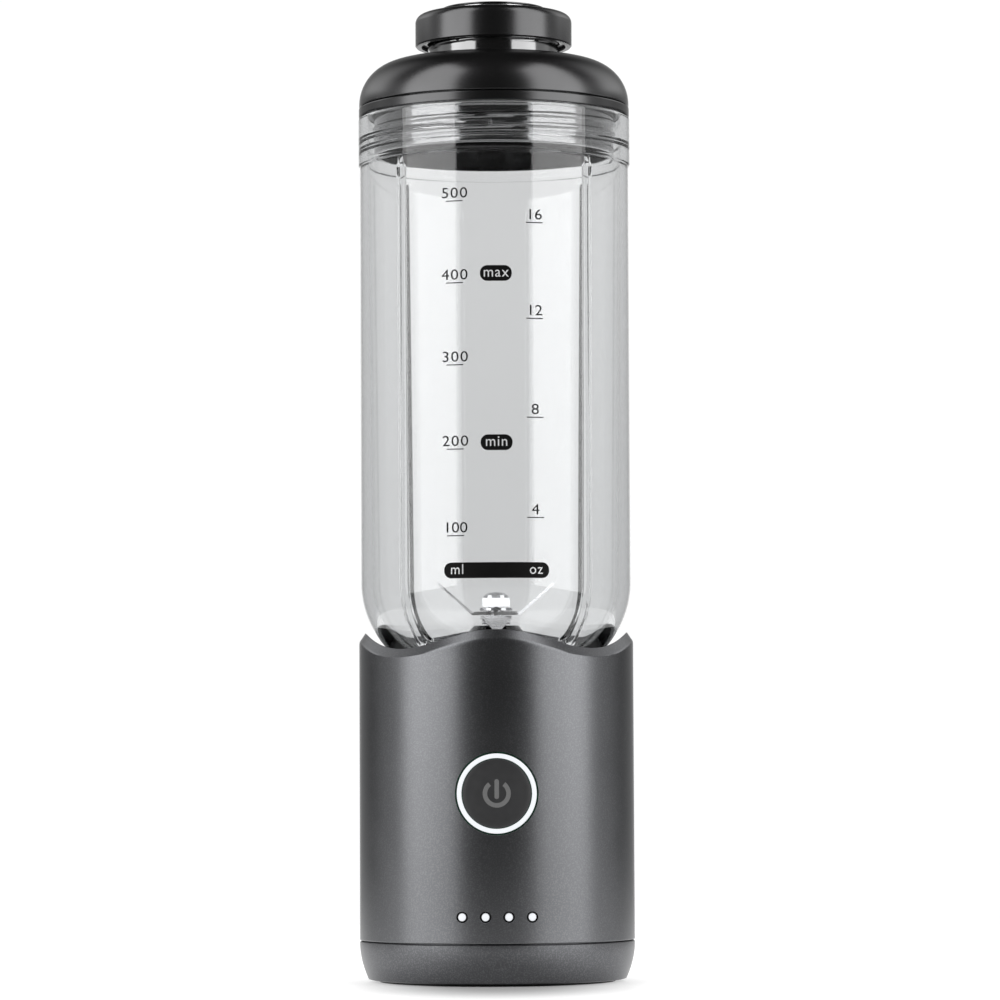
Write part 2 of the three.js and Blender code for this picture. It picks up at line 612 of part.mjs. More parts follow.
function spindle() {
  return turned([
    [0, 84.9], [SPINDLE_R, 84.9], [SPINDLE_R, 103.6], [4.2, 103.6], [4.2, 104.8],
    [SPINDLE_TOP_R, 104.8], [SPINDLE_TOP_R, 111.6], [0, 111.6],
  ], 20);
}

function bladeNut() {
  const hexagon = disc(4.6, 108.8, 111.4, 6);
  const crown = turned([[0, 111], [4, 111], [3.6, 112.2], [2.4, 113], [0, 113.3]], 18);
  return cut(join(hexagon, crown), disc(SPINDLE_TOP_R + GAP, 108, 111.9, 16));
}

add('blade_spindle', spindle(), 'steel');
add('blade_lower', bladePair(BLADE.lower, 9, 21, -4.5, 90), 'steel');
add('blade_upper', bladePair(BLADE.upper, 7, 17, 9, 0), 'steel');
add('blade_washer', ring(SPINDLE_TOP_R + GAP, 4.8, 107.7, 108.5, 20), 'steel');
add('blade_nut', bladeNut(), 'steel');
add('driven_coupling', clutch(9.4, [84.2, 87.6], [80.5, 84.7], SPINDLE_R + GAP, CLUTCH.offset), 'coupling');

// ---------------------------------------------------------------- lid

function lidDome() {
  const outside = arc(BAND.outer - 0.1 - DOME.cornerR, DOME.cornerZ, DOME.cornerR, 0, 90, 7);
  const inside = arc(BAND.outer - 0.1 - DOME.cornerR, DOME.cornerZ, DOME.cornerR - DOME.wall, 90, 0, 4);
  const top = DOME.cornerZ + DOME.cornerR;
  return turned([
    [DOME.edge, DOME.low], ...outside, [DOME.hole, top + 0.2], [DOME.hole, top - DOME.wall],
    ...inside, [DOME.edge - DOME.wall, DOME.low],
  ], RIM_SIDES);
}

// Plug: the inner lid. Its skirt screws into the cup's collar and its spout rises through the dome.
function lidPlug() {
  const body = turned([
    [PLUG.inner, PLUG.low], [PLUG.outer, PLUG.low], [PLUG.outer, PLUG.plate],
    [PLUG.flange, PLUG.plate], [PLUG.flange, PLUG.plateTop], [SPOUT.outer, PLUG.plateTop],
    [SPOUT.outer, SPOUT.top - 0.5], [SPOUT.outer - 0.5, SPOUT.top], [SPOUT.inner, SPOUT.top],
    [SPOUT.inner, PLUG.plate], [PLUG.inner, PLUG.plate],
  ]);
  return join(body, threadRidge(PLUG.outer, LID_THREAD));
}

add('lid_gasket', ring(36.1, 37.8, 252.7, 254.3), 'silicone');
add('lid_band', ring(BAND.inner, BAND.outer, BAND.low, BAND.high, RIM_SIDES), 'satinBlack');
add('lid_dome', lidDome(), 'satinBlack');
add('lid_plug', lidPlug(), 'black');

// ---------------------------------------------------------------- cap

function capShell() {
  const inner = CAP.radius - CAP.wall;
  return turned([
    [0, CAP.top - CAP.wall + 0.1], [inner, CAP.top - CAP.wall + 0.1], [inner, CAP.low],
    [CAP.radius - 0.5, CAP.low], [CAP.radius, CAP.low + 0.5],
    ...arc(CAP.radius - CAP.corner, CAP.top - CAP.corner, CAP.corner, 0, 90, 5), [0, CAP.top],
  ]);
}

function capDisc() {
  return turned([
    [0, CAP.top + GAP], [INLAY.core - GAP, CAP.top + GAP], [INLAY.core - GAP, INLAY.top - 0.4],
    [INLAY.radius - 0.4, INLAY.top - 0.4], [INLAY.radius - 0.4, INLAY.top], [0, INLAY.top],
  ]);
}

add('cap_seal', ring(15, 19.1, 279.9, 281.1), 'silicone');
add('cap_shell', capShell(), 'satinBlack');
add('cap_liner', ring(19.6, 20.9, 274.6, 281.2), 'black');
add('cap_trim', ring(INLAY.core, INLAY.radius, CAP.top + GAP, INLAY.top - 0.7), 'steel');
add('cap_disc', capDisc(), 'satinBlack');

export default blender;
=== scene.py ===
"""Portable blender: a clear cup with a screw lid and a spout cap, on a cordless motor base.

The pieces follow the order in which the real one is put together, from the base up. Sizes are in
millimetres, stay with those of the frame's solids, and become metres when a mesh is made.
"""

import math

import bmesh
import bpy
from mathutils import Matrix, Vector


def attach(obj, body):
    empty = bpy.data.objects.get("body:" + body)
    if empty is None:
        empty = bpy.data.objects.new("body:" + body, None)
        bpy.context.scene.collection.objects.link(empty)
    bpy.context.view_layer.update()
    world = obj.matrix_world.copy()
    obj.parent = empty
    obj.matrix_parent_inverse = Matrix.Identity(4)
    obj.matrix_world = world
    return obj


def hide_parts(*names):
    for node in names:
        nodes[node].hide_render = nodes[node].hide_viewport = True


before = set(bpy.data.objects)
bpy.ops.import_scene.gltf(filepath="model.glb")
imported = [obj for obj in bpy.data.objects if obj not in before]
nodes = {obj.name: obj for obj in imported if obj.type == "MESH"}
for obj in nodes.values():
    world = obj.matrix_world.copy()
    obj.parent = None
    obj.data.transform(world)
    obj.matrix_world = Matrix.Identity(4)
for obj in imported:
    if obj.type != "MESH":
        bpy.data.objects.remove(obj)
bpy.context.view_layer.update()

# ------------------------------------------------------------------------------------------- studio
# A white table in front of a white wall, seen from just above the table by a long lens. Two tall soft
# boxes stand left and right of the camera, so that round walls show two upright bands of light.

MM = 0.001
LENS = 169.2
EYE = (1.3, -1374, 61.3)
PITCH = 3.29
ROLL = -0.26


def placed(name, data):
    """A new object with this data, in the scene."""
    obj = bpy.data.objects.new(name, data)
    bpy.context.scene.collection.objects.link(obj)
    return obj


camera = placed("camera", bpy.data.cameras.new("camera"))
camera.data.lens = LENS
camera.data.sensor_width = 36
camera.data.clip_end = 50
aim = Matrix.Rotation(math.radians(90 + PITCH), 4, "X") @ Matrix.Rotation(math.radians(ROLL), 4, "Z")
camera.matrix_world = Matrix.Translation(Vector(EYE) * MM) @ aim
bpy.context.scene.camera = camera
bpy.context.scene.view_settings.view_transform = "Standard"


class Wire:
    """A shader socket that Python can do sums with. make() adds any node that isn't a sum."""

    def __init__(self, tree, socket=None):
        self.tree = tree
        self.socket = socket

    def make(self, kind, settings=None, sockets=None, output=0):
        node = self.tree.nodes.new(kind)
        for name, value in (settings or {}).items():
            setattr(node, name, value)
        for name, value in (sockets or {}).items():
            self.plug(node.inputs[name], value)
        return Wire(self.tree, node.outputs[output])

    def plug(self, socket, value):
        if isinstance(value, Wire):
            self.tree.links.new(value.socket, socket)
        elif socket.type == "RGBA" and len(value) == 3:
            socket.default_value = (*value, 1)
        else:
            socket.default_value = value

    def math(self, operation, *values):
        sockets = dict(enumerate(values))
        return self.make("ShaderNodeMath", {"operation": operation}, sockets)

    def __add__(self, other):
        return self.math("ADD", self, other)

    def __sub__(self, other):
        return self.math("SUBTRACT", self, other)

    def __rsub__(self, other):
        return self.math("SUBTRACT", other, self)

    def __mul__(self, other):
        return self.math("MULTIPLY", self, other)

    __radd__ = __add__
    __rmul__ = __mul__

    def step(self, low, high):
        """0 below low and 1 above high, with a soft change between them."""
        sockets = {"Value": self, "From Min": low, "From Max": high}
        return self.make("ShaderNodeMapRange", {"interpolation_type": "SMOOTHSTEP"}, sockets)

    def blend(self, low, high):
        """The colour low where this wire is 0, and high where it is 1."""
        settings = {"data_type": "RGBA", "clamp_factor": True}
        return self.make("ShaderNodeMix", settings, {0: self, 6: low, 7: high}, output=2)

    def part(self, axis):
        """One of the three numbers of a vector."""
        return self.make("ShaderNodeSeparateXYZ", None, {0: self}, output="XYZ".index(axis))


def studio_world():
    """White behind the blender and through its cup. Reflections see a dark room with a white wall."""
    world = bpy.data.worlds.new("studio")
    world.use_nodes = True
    bpy.context.scene.world = world
    tree = Wire(world.node_tree)
    seen = tree.make("ShaderNodeLightPath", output="Is Camera Ray")
    through = tree.make("ShaderNodeLightPath", output="Is Transmission Ray")
    ambient = tree.make("ShaderNodeLightPath", output="Is Diffuse Ray")
    heading = tree.make("ShaderNodeTexCoord", output="Generated")
    back, up = heading.part("Y"), heading.part("Z")
    behind = back.step(0.1, 0.8)
    wall = back.step(0.5, 1.0) * 0.3 + back.step(0.93, 1.0) * 0.8
    across = heading.math("ABSOLUTE", heading.part("X"))
    aside = across.step(0.3, 0.95)
    cards = up.step(0.1, 0.3) * back.step(0.1, 0.5) * aside
    room = 0.015 + wall + 1.8 * cards + 0.45 * across.step(0.78, 1.0)
    level = up.step(-0.2, -0.15)
    dark = level * (0 - back).step(0.7, 0.9)
    glow = 0.97 - 0.25 * level + 0.16 * behind - 0.12 * aside - 0.66 * dark
    light = seen * 1.02 + through * glow + ambient * 0.5 + (1 - seen - through - ambient) * room
    background = world.node_tree.nodes["Background"]
    background.inputs["Color"].default_value = (1, 1, 1, 1)
    tree.plug(background.inputs["Strength"], light)


def soft_box(name, side, radiance):
    """A tall lamp panel beside the table that faces across it."""
    near, far, height, aside = -0.94, -0.10, 1.7, 0.6
    lamp = bpy.data.lights.new(name, "AREA")
    lamp.shape = "RECTANGLE"
    lamp.size = far - near
    lamp.size_y = height
    lamp.energy = radiance * math.pi * lamp.size * lamp.size_y
    panel = placed(name, lamp)
    turn = Matrix.Rotation(math.radians(90 * side), 4, "Z") @ Matrix.Rotation(math.radians(90), 4, "X")
    panel.matrix_world = Matrix.Translation((aside * side, (near + far) / 2, height / 2)) @ turn
    panel.visible_camera = False


def table_top():
    """A round white plinth that glows white, with its glow painted out round the blender's foot and in
    front of it: a painted contact shadow.
    """
    reach = 0.34
    mesh = bpy.data.meshes.new("table_top")
    shape = bmesh.new()
    bmesh.ops.create_circle(shape, cap_ends=True, segments=96, radius=reach)
    bmesh.ops.translate(shape, verts=shape.verts, vec=(0, reach / 2, 0))
    shape.to_mesh(mesh)
    shape.free()
    table = placed("table_top", mesh)
    white = bpy.data.materials.new("sweep_with_painted_shadow")
    white.use_nodes = True
    tree = Wire(white.node_tree)
    place = tree.make("ShaderNodeTexCoord", output="Object")
    spread = {0: place, 1: (2, 1, 1), 2: (0, 0.03, 0)}
    place = tree.make("ShaderNodeVectorMath", {"operation": "MULTIPLY_ADD"}, spread)
    away = tree.make("ShaderNodeVectorMath", {"operation": "LENGTH"}, {0: place}, output="Value")
    shader = white.node_tree.nodes["Principled BSDF"]
    shader.inputs["Base Color"].default_value = (0.42, 0.42, 0.42, 1)
    shader.inputs["Roughness"].default_value = 0.6
    shader.inputs["Emission Color"].default_value = (1, 1, 1, 1)
    shader.inputs["Emission Strength"].default_value = 1
    # Painted shadow: no glow within 20 mm of a point 30 mm in front of the blender's axis, full glow past
    # 110 mm, reaching twice as far forward and back as sideways.
    tree.plug(shader.inputs["Emission Color"], away.step(0.02, 0.11).blend((0, 0, 0), (0.8, 0.8, 0.8)))
    mesh.materials.append(white)


studio_world()
soft_box("soft_box_left", -1, 2.5)
soft_box("soft_box_right", 1, 2.4)
table_top()

# ------------------------------------------------------------------------------------- base housing
# A moulded round shell, sprayed with a dark grey paint that holds fine metal flakes. Its rim rises and
# falls in four waves and is bevelled inwards. The deck sits on a ledge inside it.

BASE_R = 40
WALL = 2.2
SEAM_Z = 12
RIM_Z, RIM_WAVE, RIM_LOBES = 98.8, 2.6, 4
BEVEL_HEIGHT, BEVEL_WIDTH = 2.7, 1.8
LEDGE_Z = 90.2
PAINT = (0.19, 0.193, 0.2)
PAINT_DEEP = (0.14, 0.143, 0.15)


def around(sides, *extra):
    """Angles round the axis, from the front, with any extra ones among them."""
    even = [2 * math.pi * i / sides for i in range(sides)]
    return sorted(set(even) | {angle % (2 * math.pi) for angle in extra})


def rounded(corners, steps=4):
    """A closed outline in which each (r, z, radius) corner becomes a small curve.

    A point just beyond each end of the curve keeps the straight sides flat when they are shaded."""
    outline = []
    for i, corner in enumerate(corners):
        here = Vector(corner[:2])
        radius = corner[2] if len(corner) > 2 else 0
        if not radius:
            outline.append(tuple(here))
            continue
        before = Vector(corners[i - 1][:2]) - here
        after = Vector(corners[(i + 1) % len(corners)][:2]) - here
        bend = before.angle(after)
        reach = min(radius / math.tan(bend / 2), 0.4 * before.length, 0.4 * after.length)
        start, end = here + before.normalized() * reach, here + after.normalized() * reach
        outline.append(tuple(here.lerp(start, 1.2)))
        for k in range(steps + 1):
            t = k / steps
            outline.append(tuple(start * (1 - t) ** 2 + here * 2 * t * (1 - t) + end * t ** 2))
        outline.append(tuple(here.lerp(end, 1.2)))
    return outline


def divided(outline, length):
    """The outline with points added so that no stretch is longer than length."""
    result = []
    for i, point in enumerate(outline):
        start, end = Vector(point), Vector(outline[(i + 1) % len(outline)])
        parts = max(1, math.ceil((end - start).length / length))
        result.extend(tuple(start.lerp(end, k / parts)) for k in range(parts))
    return result


def curve_points(centre_r, centre_z, radius, start, end, steps):
    """Points of an arc, in degrees from the outward direction."""
    turns = [math.radians(start + (end - start) * i / steps) for i in range(steps + 1)]
    return [(centre_r + radius * math.cos(a), centre_z + radius * math.sin(a)) for a in turns]


def piece(name, vertices, faces, sharp=35):
    """A new mesh object from points in millimetres, with its faces turned out."""
    mesh = bpy.data.meshes.new(name)
    mesh.from_pydata([Vector(v) * MM for v in vertices], [], faces)
    obj = placed(name, mesh)
    tidy(obj, sharp)
    return obj


def tidy(obj, sharp=35):
    """Joins points that meet, turns the faces out and smooths every edge flatter than sharp degrees."""
    shape = bmesh.new()
    shape.from_mesh(obj.data)
    bmesh.ops.remove_doubles(shape, verts=shape.verts, dist=1e-7)
    bmesh.ops.recalc_face_normals(shape, faces=shape.faces)
    shape.to_mesh(obj.data)
    shape.free()
    obj.data.shade_smooth()
    obj.data.set_sharp_from_angle(angle=math.radians(sharp))


def swept(name, outline, angles, place, sharp=35):
    """A closed skin round an axis. place(r, along, angle, i) puts point i of the outline in space."""
    vertices, columns, faces = [], [], []
    for angle in angles:
        column = []
        for i, (r, along) in enumerate(outline):
            if r == 0 and columns:
                column.append(columns[0][i])
                continue
            column.append(len(vertices))
            vertices.append(place(r, along, angle, i))
        columns.append(column)
    rows = len(outline) - 1 if outline[0][0] == 0 else len(outline)
    for column, other in zip(columns, columns[1:] + columns[:1]):
        for i in range(rows):
            k = (i + 1) % len(outline)
            face = list(dict.fromkeys((column[i], column[k], other[k], other[i])))
            if len(face) > 2:
                faces.append(face)
    return piece(name, vertices, faces, sharp)


def turned(name, outline, angles=None, shape=None, sharp=35):
    """A piece turned about the Z axis. shape(r, z, angle, i) may move each point of the outline."""
    def place(r, z, angle, i):
        if shape:
            r, z = shape(r, z, angle, i)
        return r * math.sin(angle), -r * math.cos(angle), z

    return swept(name, outline, angles or around(128), place, sharp)


def stacked(name, vertices, count, sharp=35):
    """A closed skin over loops of count points each."""
    last = len(vertices) - count
    faces = [list(range(count)), list(range(last, last + count))]
    for low in range(0, last, count):
        high = low + count
        faces += [[low + i, low + (i + 1) % count, high + (i + 1) % count, high + i] for i in range(count)]
    return piece(name, vertices, faces, sharp)


def prism(name, outline, front, back):
    """An (x, z) outline pushed along the Y axis from front to back."""
    return stacked(name, [(x, y, z) for y in (front, back) for x, z in outline], len(outline))


def final_mesh(obj):
    """The mesh of obj as its modifiers or its curve settings make it."""
    graph = bpy.context.evaluated_depsgraph_get()
    return bpy.data.meshes.new_from_object(obj.evaluated_get(graph))


def carve(obj, tools):
    """Cuts the tools out of obj and removes them."""
    for tool in tools:
        cutter = obj.modifiers.new("cutter", "BOOLEAN")
        cutter.operation = "DIFFERENCE"
        cutter.solver = "EXACT"
        cutter.object = tool
    result = final_mesh(obj)
    obj.modifiers.clear()
    obj.data = result
    for tool in tools:
        bpy.data.objects.remove(tool)
    tidy(obj)


def round_outline(x, z, radius, steps=48):
    turns = [2 * math.pi * i / steps for i in range(steps)]
    return [(x + radius * math.cos(a), z + radius * math.sin(a)) for a in turns]


def pill_outline(x, z, width, height, corner, steps=8, extra=10):
    """A rectangle with round corners about (x, z), with extra points along its straight sides."""
    corners = []
    for turn, (sx, sz) in enumerate(((1, 1), (-1, 1), (-1, -1), (1, -1))):
        cx, cz = x + sx * (width / 2 - corner), z + sz * (height / 2 - corner)
        corners.append(curve_points(cx, cz, corner, 90 * turn, 90 * turn + 90, steps))
    result = []
    for arc, following in zip(corners, corners[1:] + corners[:1]):
        start, end = Vector(arc[-1]), Vector(following[0])
        result += arc + [tuple(start.lerp(end, k / extra)) for k in range(1, extra)]
    return result


def finish_of(name, sockets):
    """A material whose Principled sockets are what sockets(tree) returns."""
    material = bpy.data.materials.new(name)
    material.use_nodes = True
    tree = Wire(material.node_tree)
    shader = material.node_tree.nodes["Principled BSDF"]
    for socket, value in sockets(tree).items():
        tree.plug(shader.inputs[socket], value)
    return material


def grain(tree, scale, detail=2.0, stretch=None):
    """Even noise between 0 and 1 at that many grains per metre."""
    place = tree.make("ShaderNodeTexCoord", output="Object")
    if stretch:
        place = tree.make("ShaderNodeVectorMath", {"operation": "MULTIPLY"}, {0: place, 1: stretch})
    return tree.make("ShaderNodeTexNoise", None, {"Vector": place, "Scale": scale, "Detail": detail})


def bumps(tree, height, depth, strength):
    """A normal from a height wire, whose full swing is depth millimetres."""
    sockets = {"Height": height, "Distance": depth * MM, "Strength": strength}
    return tree.make("ShaderNodeBump", None, sockets)


def dress(obj, material, body=None, slot=None, *replaced):
    """Gives a piece its finish, and seats a new one on its body in place of its nodes; slot is not used.
    """
    obj.data.materials.clear()
    obj.data.materials.append(material)
    if body:
        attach(obj, body)
    if replaced:
        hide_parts(*replaced)
    return obj


def flake_paint(tree):
    flakes = grain(tree, 2600, 1.0).step(0.46, 0.66)
    clouds = grain(tree, 60)
    tone = flakes * 0.75 + clouds * 0.25
    orange_peel = grain(tree, 1400)
    return {
        "Base Color": tone.blend(PAINT_DEEP, PAINT),
        "Metallic": 0.97,
        "Roughness": 0.29 + 0.05 * clouds + 0.03 * flakes,
        "Coat Weight": 0.08 + 0.05 * clouds,
        "Coat Roughness": 0.28,
        "Normal": bumps(tree, orange_peel, 0.012, 0.5),
    }


paint = finish_of("flake_paint", flake_paint)


def rim_wave(r, z, angle, _):
    """Raises and lowers the rim round the base."""
    share = min(1, max(0, (z - RIM_Z + BEVEL_HEIGHT + 2) / 2))
    return r, z + share * RIM_WAVE * math.cos(RIM_LOBES * angle)


inner_r = BASE_R - WALL
edge_z = RIM_Z - BEVEL_HEIGHT
BUTTON_Z = 54.7
RING_INNER, RING_OUTER, RING_HOLE = 10.05, 11.35, 11.9
DOT_PLACES = [(i - 1.5) * 6.65 for i in range(4)]
DOT_Z, DOT_HOLE = 19.7, 1.65
PORT_Z, FLAP_WIDTH, FLAP_HEIGHT, FLAP_CORNER = 22, 16, 9, 3.7

housing = turned("housing_shell", divided(rounded([
    (BASE_R, SEAM_Z + 0.15, 0.3), (BASE_R, edge_z, 1.5), (BASE_R - BEVEL_WIDTH, RIM_Z, 0.8),
    (inner_r, RIM_Z - 0.25, 0.15), (inner_r, LEDGE_Z + 0.3), (inner_r - 1.1, LEDGE_Z),
    (inner_r - 1.1, LEDGE_Z - 1.4), (inner_r, LEDGE_Z - 2.6), (inner_r, SEAM_Z + 0.15),
]), 5), around(192), rim_wave)
front, back = (-BASE_R - 3, -BASE_R + 6), (BASE_R - 6, BASE_R + 3)
flap_hole = pill_outline(0, PORT_Z, FLAP_WIDTH + 0.6, FLAP_HEIGHT + 0.6, FLAP_CORNER + 0.3)
carve(housing, [
    prism("ring_hole", round_outline(0, BUTTON_Z, RING_HOLE, 96), *front),
    prism("flap_hole", flap_hole, *back),
    *[prism("dot_hole", round_outline(x, DOT_Z, DOT_HOLE), *front) for x in DOT_PLACES],
])
dress(housing, paint, "base", "painted_shell", "base_housing")

# ------------------------------------------------------------------------- bottom cover, foot, screws
# A dish moulded in grey plastic with metal flakes, screwed to the housing from below with four zinc
# plated screws. A rubber ring, glued into a groove under it, is what stands on the table.

TAPER_DEPTH, TAPER_HEIGHT, TAPER_POWER = 2.9, 11, 1.85
FOOT_INNER, FOOT_OUTER, FOOT_HEIGHT = 28.5, 34.5, 1.6


def cover_side():
    """The cover's round flank, from the table up to the seam."""
    heights = [0.9 + (TAPER_HEIGHT - 0.9) * i / 14 for i in range(15)]
    return [(BASE_R - TAPER_DEPTH * (1 - z / TAPER_HEIGHT) ** TAPER_POWER, z) for z in heights]


def cover_plastic(tree):
    speckle = grain(tree, 2600, 1.0).step(0.46, 0.66)
    return {
        "Base Color": speckle.blend((0.12, 0.122, 0.128), (0.17, 0.172, 0.18)),
        "Metallic": 0.95,
        "Roughness": 0.31 + 0.05 * speckle,
        "Normal": bumps(tree, grain(tree, 1600), 0.015, 0.5),
    }


def rubber(tree):
    mottle = grain(tree, 500, 4.0)
    return {
        "Base Color": mottle.blend((0.011, 0.011, 0.012), (0.022, 0.022, 0.023)),
        "Roughness": 0.62 + 0.2 * mottle,
        "Normal": bumps(tree, grain(tree, 2200, 3.0), 0.03, 0.6),
    }


def zinc(tree):
    patches = grain(tree, 900, 3.0)
    return {
        "Base Color": patches.blend((0.5, 0.5, 0.5), (0.66, 0.66, 0.67)),
        "Metallic": 1.0,
        "Roughness": 0.28 + 0.2 * patches,
    }


rubber_finish = finish_of("soft_rubber", rubber)
zinc_finish = finish_of("zinc_plate", zinc)
cover = turned("cover_dish", [
    (0, 0.6), (FOOT_INNER - 0.3, 0.6), (FOOT_INNER - 0.3, 1.9), (FOOT_OUTER + 0.3, 1.9),
    (FOOT_OUTER + 0.3, 0.6), (36.4, 0.6), *cover_side(),
    (BASE_R, SEAM_Z - 0.4), (BASE_R - 0.25, SEAM_Z - 0.15), (37.4, SEAM_Z - 0.15),
    (37.4, 15.6), (36, 15.6), (36, 5), (34.4, 3), (0, 3),
], around(192))
dress(cover, finish_of("cover_plastic", cover_plastic), "base", "cover_plastic", "bottom_cover")
foot = turned("foot_pad", rounded([
    (FOOT_INNER, 0, 0.5), (FOOT_OUTER, 0, 0.5), (FOOT_OUTER, FOOT_HEIGHT), (FOOT_INNER, FOOT_HEIGHT),
]))
dress(foot, rubber_finish, "base", "foot_rubber", "foot_ring")


def keep(names, material, bevel=0.15):
    """Shows these frame nodes as they are, with a finish and softened edges."""
    for name in names:
        node = dress(nodes[name], material)
        if bevel:
            edges = node.modifiers.new("soft_edges", "BEVEL")
            edges.width = bevel * MM
            edges.segments = 2
            edges.limit_method = "ANGLE"
            edges.angle_limit = math.radians(35)


keep([f"base_screw_{i}" for i in range(1, 5)], zinc_finish)

# ------------------------------------------------------------------------------ button and its lights
# The button is a satin black cap with a printed power sign, in a ring of white light guide. Four round lit
# pins in holes of the housing show the charge; behind them lies a bar in black plastic, which shows as a
# dark ring round each pin.


def sunk(name, x, z, outline, sides=96):
    """A piece turned about an axis towards the viewer, sunk in the round front wall at (x, z).

    Each outline point is (radius, depth below the wall's surface)."""
    def place(r, depth, angle, _):
        px = x + r * math.sin(angle)
        return px, depth - math.sqrt(BASE_R ** 2 - px ** 2), z + r * math.cos(angle)

    return swept(name, outline, around(sides), place)


def lamp_glow(tree):
    unevenness = grain(tree, 300)
    return {
        "Base Color": (0.3, 0.31, 0.32),
        "Roughness": 0.35 + 0.1 * unevenness,
        "Emission Color": unevenness.blend((0.86, 0.89, 0.94), (0.97, 0.98, 1.0)),
        "Emission Strength": 0.62,
    }


def black_plastic(tree):
    cloud = grain(tree, 120)
    return {
        "Base Color": cloud.blend((0.0025, 0.0025, 0.0026), (0.004, 0.004, 0.0042)),
        "Roughness": 0.13 + 0.06 * cloud,
        "Specular IOR Level": 1.0,
        "Normal": bumps(tree, grain(tree, 2000, 3.0), 0.004, 0.3),
    }


def satin_black(tree):
    cloud = grain(tree, 90)
    return {
        "Base Color": cloud.blend((0.085, 0.085, 0.086), (0.105, 0.105, 0.107)),
        "Metallic": 0.97,
        "Roughness": 0.22 + 0.05 * cloud,
        "Normal": bumps(tree, grain(tree, 2400), 0.006, 0.35),
    }


def button_face(tree):
    cloud = grain(tree, 400)
    return {
        "Base Color": cloud.blend((0.018, 0.018, 0.019), (0.024, 0.024, 0.025)),
        "Roughness": 0.42 + 0.08 * cloud,
        "Normal": bumps(tree, grain(tree, 2400), 0.006, 0.4),
    }


def grey_ink(tree):
    cover_of_ink = grain(tree, 1500)
    return {
        "Base Color": cover_of_ink.blend((0.1, 0.1, 0.1), (0.13, 0.13, 0.13)),
        "Roughness": 0.5,
    }


lamp = finish_of("lit_lens", lamp_glow)
satin = finish_of("satin_black", satin_black)
black = finish_of("black_plastic", black_plastic)
ring = sunk("light_guide", 0, BUTTON_Z, rounded([
    (RING_INNER, 0.02, 0.25), (RING_OUTER, 0.02, 0.25), (RING_OUTER, 5), (RING_INNER, 5),
]))
dress(ring, lamp, "base", "lamp_plastic", "light_ring")
button = sunk("button_cap", 0, BUTTON_Z, [
    (0, 0.62), (3, 0.62), (6, 0.6), (8.4, 0.55), (9.2, 0.5), (9.6, 0.58), (9.75, 0.8),
    (9.75, 3.6), (0, 3.6),
])
dress(button, finish_of("button_plastic", button_face), "button", "satin_black", "power_button")


def bent_outline(name, outline):
    """A thin print with this (x, z) outline, laid on the button's round face."""
    levels = (-INK_LIFT, INK_DEPTH)
    vertices = [(x, level - math.sqrt(SIGN_R ** 2 - x ** 2), z) for level in levels for x, z in outline]
    return stacked(name, vertices, len(outline))


def power_arc(radius, stroke, gap):
    """The power sign's open ring. Its gap is at the top."""
    outer = curve_points(0, BUTTON_Z, radius, 90 + gap, 450 - gap, 40)
    inner = curve_points(0, BUTTON_Z, radius - stroke, 90 + gap, 450 - gap, 40)
    return outer + inner[::-1]


SIGN_R, INK_LIFT, INK_DEPTH = BASE_R - 0.6, 0.03, 0.12
ink = finish_of("grey_ink", grey_ink)
arc_print = bent_outline("power_sign_arc", power_arc(4.0, 1.3, 37))
bar_print = bent_outline("power_sign_bar", pill_outline(0, BUTTON_Z + 1.25, 1.3, 5.6, 0.6))
for mark in (arc_print, bar_print):
    dress(mark, ink, "button", "satin_black")

bar = prism("lens_bar", pill_outline(0, DOT_Z, 26, 4, 0.8), -35.3, -33.2)
dress(bar, black, "base", "lamp_plastic", "indicator_lens")
pin_outline = [(0, 0), (0.6, 0.03), (0.95, 0.1), (1.08, 0.3), (1.08, 5.5), (0, 5.5)]
for i, x in enumerate(DOT_PLACES):
    dress(sunk(f"lens_pin_{i + 1}", x, DOT_Z, pin_outline, 24), lamp, "base", "lamp_plastic")

# -------------------------------------------------------------------------------------- charging port
# A soft rubber flap fills a hole in the back wall and covers the charging socket. It is held along its
# upper edge, where the rubber bends when the flap is pulled open.


def wrapped_plate(name, loops):
    """A plate with round corners, curved with the back wall. Each loop is (inset, depth)."""
    vertices = []
    for inset, depth in loops:
        width, height = FLAP_WIDTH - 2 * inset, FLAP_HEIGHT - 2 * inset
        outline = pill_outline(0, PORT_Z, width, height, max(FLAP_CORNER - inset, 0.15))
        vertices += [(x, math.sqrt(BASE_R ** 2 - x ** 2) - depth, z) for x, z in outline]
    return stacked(name, vertices, len(outline))


flap = wrapped_plate("flap_cover", [
    (3, 2.2), (0.1, 2.2), (0, 2.1), (0, 0.35), (0.25, 0.08), (0.6, 0), (1.3, 0), (1.5, 0.18), (1.7, 0.18),
    (1.9, 0), (2.8, 0), (3.7, 0), (4.3, 0),
])
dress(flap, rubber_finish, "flap", "flap_rubber", "port_flap")

# --------------------------------------------------------------------------------- deck and lock ring
# The deck is a black plastic moulding that closes the base. The cup's neck drops into its socket, where
# a lock ring of glass filled nylon catches three lugs.

SOCKET_R, DECK_LOW, DECK_FLOOR, SHOULDER_Z, DECK_EDGE = 30.6, 76, 78, 90.8, 93.4
LOCK_INNER, LOCK_OUTER, LOCK_TOP, NOTCH_Z, NOTCH = 28.4, 30.2, 87.5, 83.6, 24
LUG_MIDDLES = (0, 120, 240)


def coupling_plastic(tree):
    cloud = grain(tree, 200, 3.0)
    return {
        "Base Color": cloud.blend((0.02, 0.02, 0.021), (0.03, 0.03, 0.032)),
        "Roughness": 0.42 + 0.12 * cloud,
        "Normal": bumps(tree, grain(tree, 1500, 3.0), 0.03, 0.4),
    }


